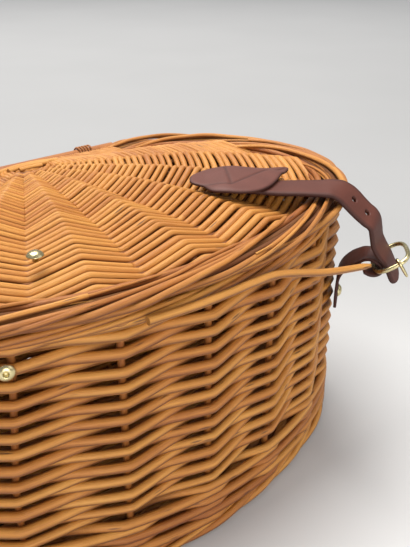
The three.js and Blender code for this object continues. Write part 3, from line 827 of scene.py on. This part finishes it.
# The lid's back stick in mm, and the loops of split willow that hold it to the rim.
STICK_Y, STICK_Z, STICK_R, STICK_HALF, STICK_TONE = -1.0, 161.0, 4.4, 71.5, 0.05
LOOP_X, LOOP_R, LOOP_TONE = 48.0, 0.64, 0.02
LOOP_TURNS = (-4.4, -2.2, 0.0, 2.2, 4.4)
LOOP_ROUND_STICK, LOOP_ROUND_RIM = 5.65, 5.15
LOOP_POINTS = 48
back_rod = Rods()
stick_ends = [(-STICK_HALF, STICK_Y, STICK_Z), (STICK_HALF, STICK_Y, STICK_Z)]
back_rod.add(np.linspace(*stick_ends, 60), STICK_R, STICK_TONE)
back_rod.make("lid_back_stick", "lid", ["lid_back_rod"], 16)


def hinge_loop(name, x):
    """Five turns of split willow round the rim and the lid's back stick."""
    rods = Rods()
    angle = np.linspace(0, 2 * np.pi, LOOP_POINTS, endpoint=False)
    unit = np.stack([np.cos(angle), np.sin(angle)], -1)
    centres = np.array([(STICK_Y, STICK_Z), (RIM_IN, RIM_Z)])
    radii = np.array([LOOP_ROUND_STICK, LOOP_ROUND_RIM])
    best = np.argmax(unit @ centres.T + radii, 1)
    yz = centres[best] + radii[best][:, None] * unit
    for shift in LOOP_TURNS:
        rods.add(columns(np.full(LOOP_POINTS, x + shift), yz), LOOP_R, LOOP_TONE, loop=True)
    rods.make(name, "basket", [name.replace("turns", "loop")])


hinge_loop("hinge_turns_left", -LOOP_X)
hinge_loop("hinge_turns_right", LOOP_X)

# The rod that has sprung out of the rim, and its thickness along its points.
LOOSE_POINTS, LOOSE_TONE = 90, 0.8
LOOSE_AT, LOOSE_THICK = [0, 70, 86, 89], [2.15, 2.1, 1.9, 1.2]
LOOSE = [(-45, -200.9, 152.3), (-20, -204.2, 152.3), (0, -205, 152.3), (14, -204.9, 152.2),
         (30, -205, 151.4), (70, -205, 139.8), (109, -204.6, 131)]
loose = Rods()
loose_thick = np.interp(np.arange(LOOSE_POINTS), LOOSE_AT, LOOSE_THICK)
loose.add(smooth_line(LOOSE, LOOSE_POINTS), loose_thick, LOOSE_TONE)
loose.make("sprung_rod", "basket", ["loose_rod"], 12)

# The strap's own frame: s outwards, w across and z up, in mm and degrees.
STRAP_ORIGIN = np.array([110.9, -179.9])
STRAP_TURN = -math.pi / 4


def from_strap(s, w, z):
    """Points of the strap's own frame in the basket's plan."""
    cos, sin = math.cos(STRAP_TURN), math.sin(STRAP_TURN)
    s, w, z = np.broadcast_arrays(s, w, z)
    x = STRAP_ORIGIN[0] + s * cos - w * sin
    y = STRAP_ORIGIN[1] + s * sin + w * cos
    return np.stack([x, y, z], -1)


def ringed_mesh(name, points, attributes):
    """A smooth closed mesh from rows of points that go round, capped at both ends."""
    rows, cols = points.shape[:2]
    index = np.arange(rows * cols).reshape(rows, cols)
    beside = np.roll(index, -1, axis=1)
    faces = np.stack([index[:-1], beside[:-1], beside[1:], index[1:]], -1).reshape(-1, 4).tolist()
    faces.append(index[0, ::-1].tolist())
    faces.append(index[-1].tolist())
    mesh = bpy.data.meshes.new(name)
    mesh.from_pydata(in_frame(points.reshape(-1, 3)).tolist(), [], faces)
    for key, values in attributes.items():
        layer = mesh.attributes.new(key, "FLOAT", "POINT")
        layer.data.foreach_set("value", np.asarray(values, np.float32).ravel())
    work = bmesh.new()
    work.from_mesh(mesh)
    bmesh.ops.recalc_face_normals(work, faces=work.faces)
    work.to_mesh(mesh)
    work.free()
    mesh.polygons.foreach_set("use_smooth", np.ones(len(mesh.polygons), bool))
    mesh.update()
    return mesh


def strip_section(half, thick, crown, n=9):
    """Across a strap: rounded edges and a crowned face; pairs of (across, up) and how near an edge."""
    across = np.linspace(-1, 1, n)
    rim = thick / 2
    flat = half - rim * 0.6
    top = np.stack([across * flat, rim + crown * (1 - across**2)], -1)
    right = np.array([[half - rim * 0.12, rim * 0.55], [half, 0.0], [half - rim * 0.12, -rim * 0.55]])
    bottom = np.stack([across[::-1] * flat, np.full(n, -rim)], -1)
    ring = np.concatenate([top, right, bottom, -right])
    edge = np.clip((np.abs(ring[:, 0]) - (half - 1.6)) / 1.2, 0, 1)
    return ring, edge


def rolled_across(run, across, roll):
    """A strip's directions across and out of its face, square to its run and rolled about it."""
    across = across - run * np.sum(across * run, 1)[:, None]
    across /= np.linalg.norm(across, axis=1)[:, None]
    facing = np.cross(run, across)
    cos, sin = np.cos(roll)[:, None], np.sin(roll)[:, None]
    return cos * across + sin * facing, cos * facing - sin * across


def strip_frames(line, n):
    """Middle, across and facing along a strip, with its half width, in the strap's own frame."""
    rows = smooth_line(line, n)
    middle = rows[:, :3]
    run = np.gradient(middle, axis=0)
    run /= np.linalg.norm(run, axis=1)[:, None]
    yaw, roll = np.radians(rows[:, 4]), np.radians(rows[:, 5])
    across = np.stack([np.sin(yaw), np.cos(yaw), 0 * yaw], -1)
    return middle, *rolled_across(run, across, roll), rows[:, 3]


def strap_mesh(name, line, thick, crown, n=130):
    """A leather strap along stations of (s, w, z, half width, yaw, roll)."""
    middle, across, facing, half = strip_frames(line, n)
    rings, edges = [], []
    for i in range(n):
        ring, edge = strip_section(half[i], thick, crown)
        points = middle[i] + ring[:, :1] * across[i] + ring[:, 1:] * facing[i]
        rings.append(from_strap(*points.T))
        edges.append(edge)
    return ringed_mesh(name, np.array(rings), {"edge": edges, "groove": np.zeros_like(edges)})


# Stations along the strap and the chape: s, w, z, half width, yaw, roll.
STRAP_T, STRAP_CROWN, CHAPE_T = 2.2, 0.25, 1.9
STRAP_LINE = [
    (-62, 0, 171.4, 11, 0, 0), (-50, 0, 170.3, 11, 0, 0), (-38, 0, 169.6, 11, 0, 0),
    (-25, 0, 169.9, 11, 0, 1), (-14, 0, 170, 11, 0, 3), (-7, 0, 170, 11, 0, 7),
    (-1.5, -0.3, 168.6, 11, 0, 16), (2, -0.6, 166.4, 10.8, 0, 22), (5.3, -1, 163.6, 10.6, 0, 25),
    (9, -1.6, 160, 10.4, 0, 25), (13.4, -2.3, 156.1, 10.2, 0, 24), (17.2, -3, 153.2, 10, 0, 24),
    (18.9, -3.4, 150.6, 10, 0, 24), (20, -4, 146, 10, 0, 24), (21.2, -4.5, 140.5, 10, 0, 23),
    (23.7, -5, 136, 10, 0, 21), (27.4, -5, 130.8, 9.6, 0, 19), (30.6, -5, 124.7, 9.4, 0, 19),
    (32.7, -5, 120.3, 9, 0, 20), (34.1, -5, 117.7, 7.4, 0, 20), (34.8, -5, 116.4, 5.2, 0, 20),
    (35.1, -5, 115.8, 3, 0, 20)]
STRAP_HOLES = (8, 10)
HOLE_R, HOLE_SIDES, PUNCH_REACH = 2.0, 24, 5.0
CHAPE_LINE = [
    (3.8, 20, 84, 6, 9, 0), (3.8, 20, 87, 9.5, 9, 0), (3.8, 20, 101, 9.5, 9, 0),
    (4.3, 19.2, 107, 9.3, 8, 0), (5.9, 16.8, 112.8, 9, 7, 0), (8.6, 13, 118.2, 8.8, 5, 0),
    (11.8, 8, 123, 8.6, 4, 0), (15, 3, 126.8, 8.3, 2, 0), (18.2, -1, 128.9, 8, 0, 0),
    (21.6, -4.4, 128.8, 7.6, 0, 0), (24.5, -5, 125.9, 7.2, 0, 0), (24.1, -5, 122.8, 7.2, 0, 0),
    (21.4, -5, 121.1, 7.2, 0, 0), (18, -5, 121.2, 7.2, 0, 0), (14.8, -5, 122.2, 6, 0, 0)]


def punched(mesh, line, stations):
    """The strap with round holes cut through it at some of its stations."""
    knots = np.asarray(line, float)
    strap = placed("strap_blank", mesh)
    at = np.array(stations)
    runs = knots[at + 1, :3] - knots[at - 1, :3]
    runs /= np.linalg.norm(runs, axis=1)[:, None]
    frames = rolled_across(runs, np.array([[0.0, 1.0, 0.0]]), np.radians(knots[at, 5]))
    angle = np.linspace(0, 2 * np.pi, HOLE_SIDES, endpoint=False)[:, None]
    cutters = []
    for middle, run, across, facing in zip(knots[at, :3], runs, *frames):
        disc = middle + HOLE_R * (np.cos(angle) * run + np.sin(angle) * across)
        rings = np.array([from_strap(*(disc + reach * facing).T) for reach in (-PUNCH_REACH, PUNCH_REACH)])
        cutter = placed("punch", ringed_mesh("punch", rings, {}))
        modifier = strap.modifiers.new("hole", "BOOLEAN")
        modifier.operation = "DIFFERENCE"
        modifier.solver = "EXACT"
        modifier.object = cutter
        cutters.append(cutter)
    result = evaluated(strap)
    for thing in [strap, *cutters]:
        bpy.data.objects.remove(thing)
    return result


strap = strap_mesh("lid_strap_leather", STRAP_LINE, STRAP_T, STRAP_CROWN)
strap = punched(strap, STRAP_LINE, STRAP_HOLES)
dress("lid_strap_leather", strap, "lid", ["lid_strap"], STRAP_LEATHER)
chape = strap_mesh("chape_leather", CHAPE_LINE, CHAPE_T, 0.0)
dress("chape_leather", chape, "basket", ["buckle_chape"], STRAP_LEATHER)

# The heart-shaped patch in plan, notch first, and its pressed lines.
PATCH = [(48, -129.5), (45.8, -121.5), (50.5, -114.5), (60, -111), (70, -110.6), (78, -115),
         (85.5, -123.3), (99, -126.6), (116, -131), (107, -137.2), (97.3, -143.4), (86.8, -149.3),
         (76, -153.9), (64, -155.2), (52.8, -149.2), (46.3, -139.5)]
PRESSED = [((58, -142), (113, -131.5)), ((58, -142), (75.5, -116)), ((58, -142), (49, -131))]
PATCH_T = 2.0
PATCH_ROUND, ROUND_FROM = 0.5, 0.94
PRESSED_DEEP, PRESSED_HALF = 0.45, 0.7
# The patch stands this high over the strap's end, and sinks beside it over a stretch.
LIFT_OVER, LIFT_SINK, LIFT_NEAR, LIFT_RUN = 4.0, 3.4, 4, 16


def patch_lift(x, y):
    """How far the patch stands off the lid: over the strap's end, and less beside it."""
    cos, sin = math.cos(STRAP_TURN), math.sin(STRAP_TURN)
    dx, dy = x - STRAP_ORIGIN[0], y - STRAP_ORIGIN[1]
    past = np.maximum(STRAP_LINE[0][0] - (dx * cos + dy * sin), 0)
    beside = np.maximum(np.abs(dy * cos - dx * sin) - STRAP_LINE[0][3], 0)
    t = np.clip((np.hypot(past, beside) - LIFT_NEAR) / LIFT_RUN, 0, 1)
    return LIFT_OVER - LIFT_SINK * t * t * (3 - 2 * t)


def pressed(points):
    """The patch's pressed lines: 1 in a line, 0 away from it."""
    depth = np.zeros(len(points))
    for ends in PRESSED:
        a, b = np.array(ends, float)
        t = np.clip(((points - a) @ (b - a)) / ((b - a) @ (b - a)), 0, 1)
        away = np.linalg.norm(points - a - t[:, None] * (b - a), axis=1)
        depth = np.maximum(depth, np.exp(-((away / PRESSED_HALF) ** 2)))
    return depth


def patch_mesh():
    """Rings of points from the patch's middle to its edge and back underneath."""
    knots = np.array(PATCH + PATCH[:1], float)
    rim = smooth_line(columns(knots, np.zeros(len(knots))), 145)[:-1, :2]
    heart = rim.mean(0)
    scales = np.concatenate([np.linspace(0.04, ROUND_FROM, 22), [0.97, 0.99, 1.0]])
    rings, edges, grooves = [], [], []
    for top, scale in [(True, s) for s in scales] + [(False, s) for s in scales[::-1]]:
        p = heart + (rim - heart) * scale
        base = panel_top(p[:, 0], p[:, 1]) + patch_lift(p[:, 0], p[:, 1])
        round_off = PATCH_ROUND * np.clip((scale - ROUND_FROM) / 0.06, 0, 1) ** 2
        groove = pressed(p) if top else np.zeros(len(p))
        up = PATCH_T - round_off - PRESSED_DEEP * groove if top else round_off
        rings.append(columns(p, base + up))
        edges.append(np.full(len(p), np.clip((scale - 0.955) / 0.045, 0, 1)))
        grooves.append(groove)
    return ringed_mesh("heart_patch", np.array(rings), {"edge": edges, "groove": grooves})


dress("heart_patch", patch_mesh(), "lid", ["strap_patch"], PATCH_LEATHER)

# The brass ring, its prong and the dome studs.
RING_S, RING_W, RING_Z, RING_TILT = 29.7, -5.0, 130.1, math.radians(32.0)
RING_LONG, RING_WIDE, RING_WIRE, RING_POWER = 10.6, 13.0, 1.5, 3.0
RING_WORN = 0.15
PRONG_AT, PRONG_R, PRONG_HANG = -78.0, 1.0, 8.0
HOOK_R = RING_WIRE + 0.3 + PRONG_R


def ring_point(degrees):
    """Points on the middle line of the ring's wire, a rounded oblong."""
    angle = np.radians(degrees)
    x, y = np.cos(angle), np.sin(angle)
    along = RING_LONG * np.sign(x) * np.abs(x) ** (2 / RING_POWER)
    across = RING_WIDE * np.sign(y) * np.abs(y) ** (2 / RING_POWER)
    out, up = along * math.cos(RING_TILT), along * math.sin(RING_TILT)
    return from_strap(RING_S + out, RING_W + across, RING_Z + up)


def prong_line():
    """A hook round the ring's wire and a short straight end."""
    up = from_strap(-math.sin(RING_TILT), 0, math.cos(RING_TILT)) - from_strap(0, 0, 0)
    out = np.cross(ring_point(PRONG_AT + 1) - ring_point(PRONG_AT - 1), up)
    out /= np.linalg.norm(out)
    angle = np.radians(np.linspace(230, 0, 24))[:, None]
    hook = ring_point(PRONG_AT) + HOOK_R * (np.cos(angle) * out + np.sin(angle) * up)
    hang = hook[-1] - np.linspace(1.0, PRONG_HANG, 8)[:, None] * up
    return np.concatenate([hook, hang])


ring = Rods()
ring.add(ring_point(np.arange(0, 360, 4.0)), RING_WIRE - RING_WORN, loop=True, tone=0.5)
ring.make("brass_ring", "basket", ["buckle_ring"], 14, BRASS, "brass")
prong = Rods()
prong.add(prong_line(), np.interp(np.arange(32), [0, 26, 30, 31], [1.0, 1.0, 0.8, 0.45]) * PRONG_R)
prong.make("brass_prong", "basket", ["buckle_prong"], 10, BRASS, "brass")

STUD_R, STUD_H, STUD_MIDDLE = 4.2, 2.8, 0.46
STEM_R, LID_STEM = 1.5, 2.6
# Pairs of (share of the radius, share of the height) up the outside of a cap.
DOME = [(0.0, 0.0), (0.86, 0.0), (0.98, 0.06), (1.0, 0.14), (0.97, 0.24), (0.9, 0.36), (0.8, 0.52),
        (0.66, 0.7), (0.48, 0.83), (0.28, 0.9), (0.12, 0.915), (0.0, 0.92)]
DIMPLED = [(0.0, 0.0), (0.86, 0.0), (0.98, 0.06), (1.0, 0.16), (0.97, 0.3), (0.88, 0.5), (0.74, 0.68),
           (0.56, 0.8), (0.42, 0.84), (0.34, 0.8), (0.27, 0.55), (0.22, 0.3), (0.0, 0.26)]
STEM = [(0.0, -LID_STEM / STUD_H), (STEM_R / STUD_R, -LID_STEM / STUD_H), (STEM_R / STUD_R, 0.0)]


def stud_mesh(name, base, facing, profile, n=40):
    """A cap turned from its profile, on its flat back at a point of the frame."""
    angle = np.linspace(0, 2 * np.pi, n, endpoint=False)
    turn = np.array(facing.to_track_quat("Z", "Y").to_matrix())
    rings = []
    for share, height in profile:
        reach = max(share, 0.004) * STUD_R
        ring = columns(reach * np.cos(angle), reach * np.sin(angle), np.full(n, height * STUD_H))
        rings.append(base + ring @ turn.T)
    return ringed_mesh(name, np.array(rings), {})


def node_middle(node):
    """The middle of a node's box, in mm of the basket's plan."""
    low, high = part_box(node)
    return (np.array((low + high) / 2) - PLACE) / MM


def wall_stud(name, node, profile):
    """A stud that faces straight out of the front arc or along the chape's facing."""
    middle = node_middle(node)
    if node == "chape_stud":
        yaw = math.radians(CHAPE_LINE[0][4]) - STRAP_TURN
        facing = np.array([math.cos(yaw), -math.sin(yaw), 0.0])
    else:
        facing = np.array([middle[0], middle[1] - FRONT_Y, 0.0])
        facing /= np.linalg.norm(facing)
    base = middle - facing * STUD_MIDDLE * STUD_H
    dress(name, stud_mesh(name, base, Vector(facing), profile), "basket", [node], BRASS)


def lid_stud():
    """The stud on the lid, on its stem."""
    base = node_middle("lid_stud")
    base[2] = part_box("lid_stud")[0].z / MM + LID_STEM
    mesh = stud_mesh("lid_dome_stud", base, Vector((0, 0, 1)), STEM + DOME[1:])
    dress("lid_dome_stud", mesh, "lid", ["lid_stud"], BRASS)


lid_stud()
wall_stud("wall_dome_stud", "body_stud", DIMPLED)
wall_stud("chape_dome_stud", "chape_stud", DOME)

# Floor, light and camera; the camera's place is in mm of the plan, its turns in radians.
CAMERA_AT = (-196.0, -414.3, 307.4)
CAMERA_TURN, CAMERA_DIP = 0.7106, 0.4692
PHOTO_TALL, FOCAL_PX, SENSOR = 547, 697.5, 36.0
FLOOR_REACH, FLOOR_SIDES = 12.0, 96
LAMPS = [("window", (0.0, 1.0, 3.0), 2.4, 165.0, (1.0, 0.98, 0.95)),
         ("room", (0.9, -1.2, 1.1), 1.2, 5.0, (1.0, 0.97, 0.93)),
         ("front", (-0.6, -1.4, 0.4), 0.9, 13.0, (1.0, 0.96, 0.9))]
LAMP_AIM = Vector((0, 0, 0.1))
ROOM_LIGHT = 0.44
ROOM_COLOUR = rgba(0.95, 0.97, 1.0)
# Painted shade: the floor's colour is palest near the camera and darker further back.
FLOOR_NEAR = rgba(0.67, 0.67, 0.67)
FLOOR_FAR_PAINTED_SHADE = rgba(0.345, 0.345, 0.345)


def studio():
    """The floor, the room's light and the lamps."""
    mesh = bpy.data.meshes.new("floor")
    angles = np.linspace(0, 2 * np.pi, FLOOR_SIDES, endpoint=False)
    verts = [(FLOOR_REACH * math.cos(a), FLOOR_REACH * math.sin(a), 0.0) for a in angles]
    mesh.from_pydata(verts, [], [tuple(range(FLOOR_SIDES))])
    finish = Finish("pale_floor")
    behind = finish.part(finish.place(), 1)
    # Painted shade: the floor darkens away from the camera, and lightens a little again far back, in place
    # of the light's fall-off.
    away = behind.step(-0.2, 0.35) - behind.step(0.6, 2.6) * 0.33
    cloud = finish.noise(finish.place(), 3.0, 2.0) * 0.12
    colour = finish.mix((away * 0.9 + cloud).clamp(), FLOOR_NEAR, FLOOR_FAR_PAINTED_SHADE)
    mesh.materials.append(finish.set(Base_Color=colour, Roughness=0.6))
    floor = placed("floor", mesh)
    floor.rotation_euler = (0, 0, -CAMERA_TURN)
    world = bpy.data.worlds.new("soft_room")
    world.use_nodes = True
    background = world.node_tree.nodes["Background"]
    background.inputs[0].default_value = ROOM_COLOUR
    background.inputs[1].default_value = ROOM_LIGHT
    bpy.context.scene.world = world
    for name, at, size, power, colour in LAMPS:
        data = bpy.data.lights.new(name, "AREA")
        data.size = size
        data.energy = power
        data.color = colour
        lamp = placed(name, data)
        lamp.location = at
        lamp.rotation_euler = (LAMP_AIM - Vector(at)).to_track_quat("-Z", "Y").to_euler()


def camera():
    """The camera at the photograph's viewing angle."""
    data = bpy.data.cameras.new("camera")
    data.sensor_width = SENSOR
    data.lens = FOCAL_PX * SENSOR / PHOTO_TALL
    eye = placed("camera", data)
    eye.location = Vector(in_frame(CAMERA_AT))
    level = math.cos(CAMERA_DIP)
    look = Vector((math.sin(CAMERA_TURN) * level, math.cos(CAMERA_TURN) * level, -math.sin(CAMERA_DIP)))
    eye.rotation_euler = look.to_track_quat("-Z", "Y").to_euler()
    bpy.context.scene.camera = eye


studio()
camera()
bpy.context.scene.view_settings.view_transform = "Standard"
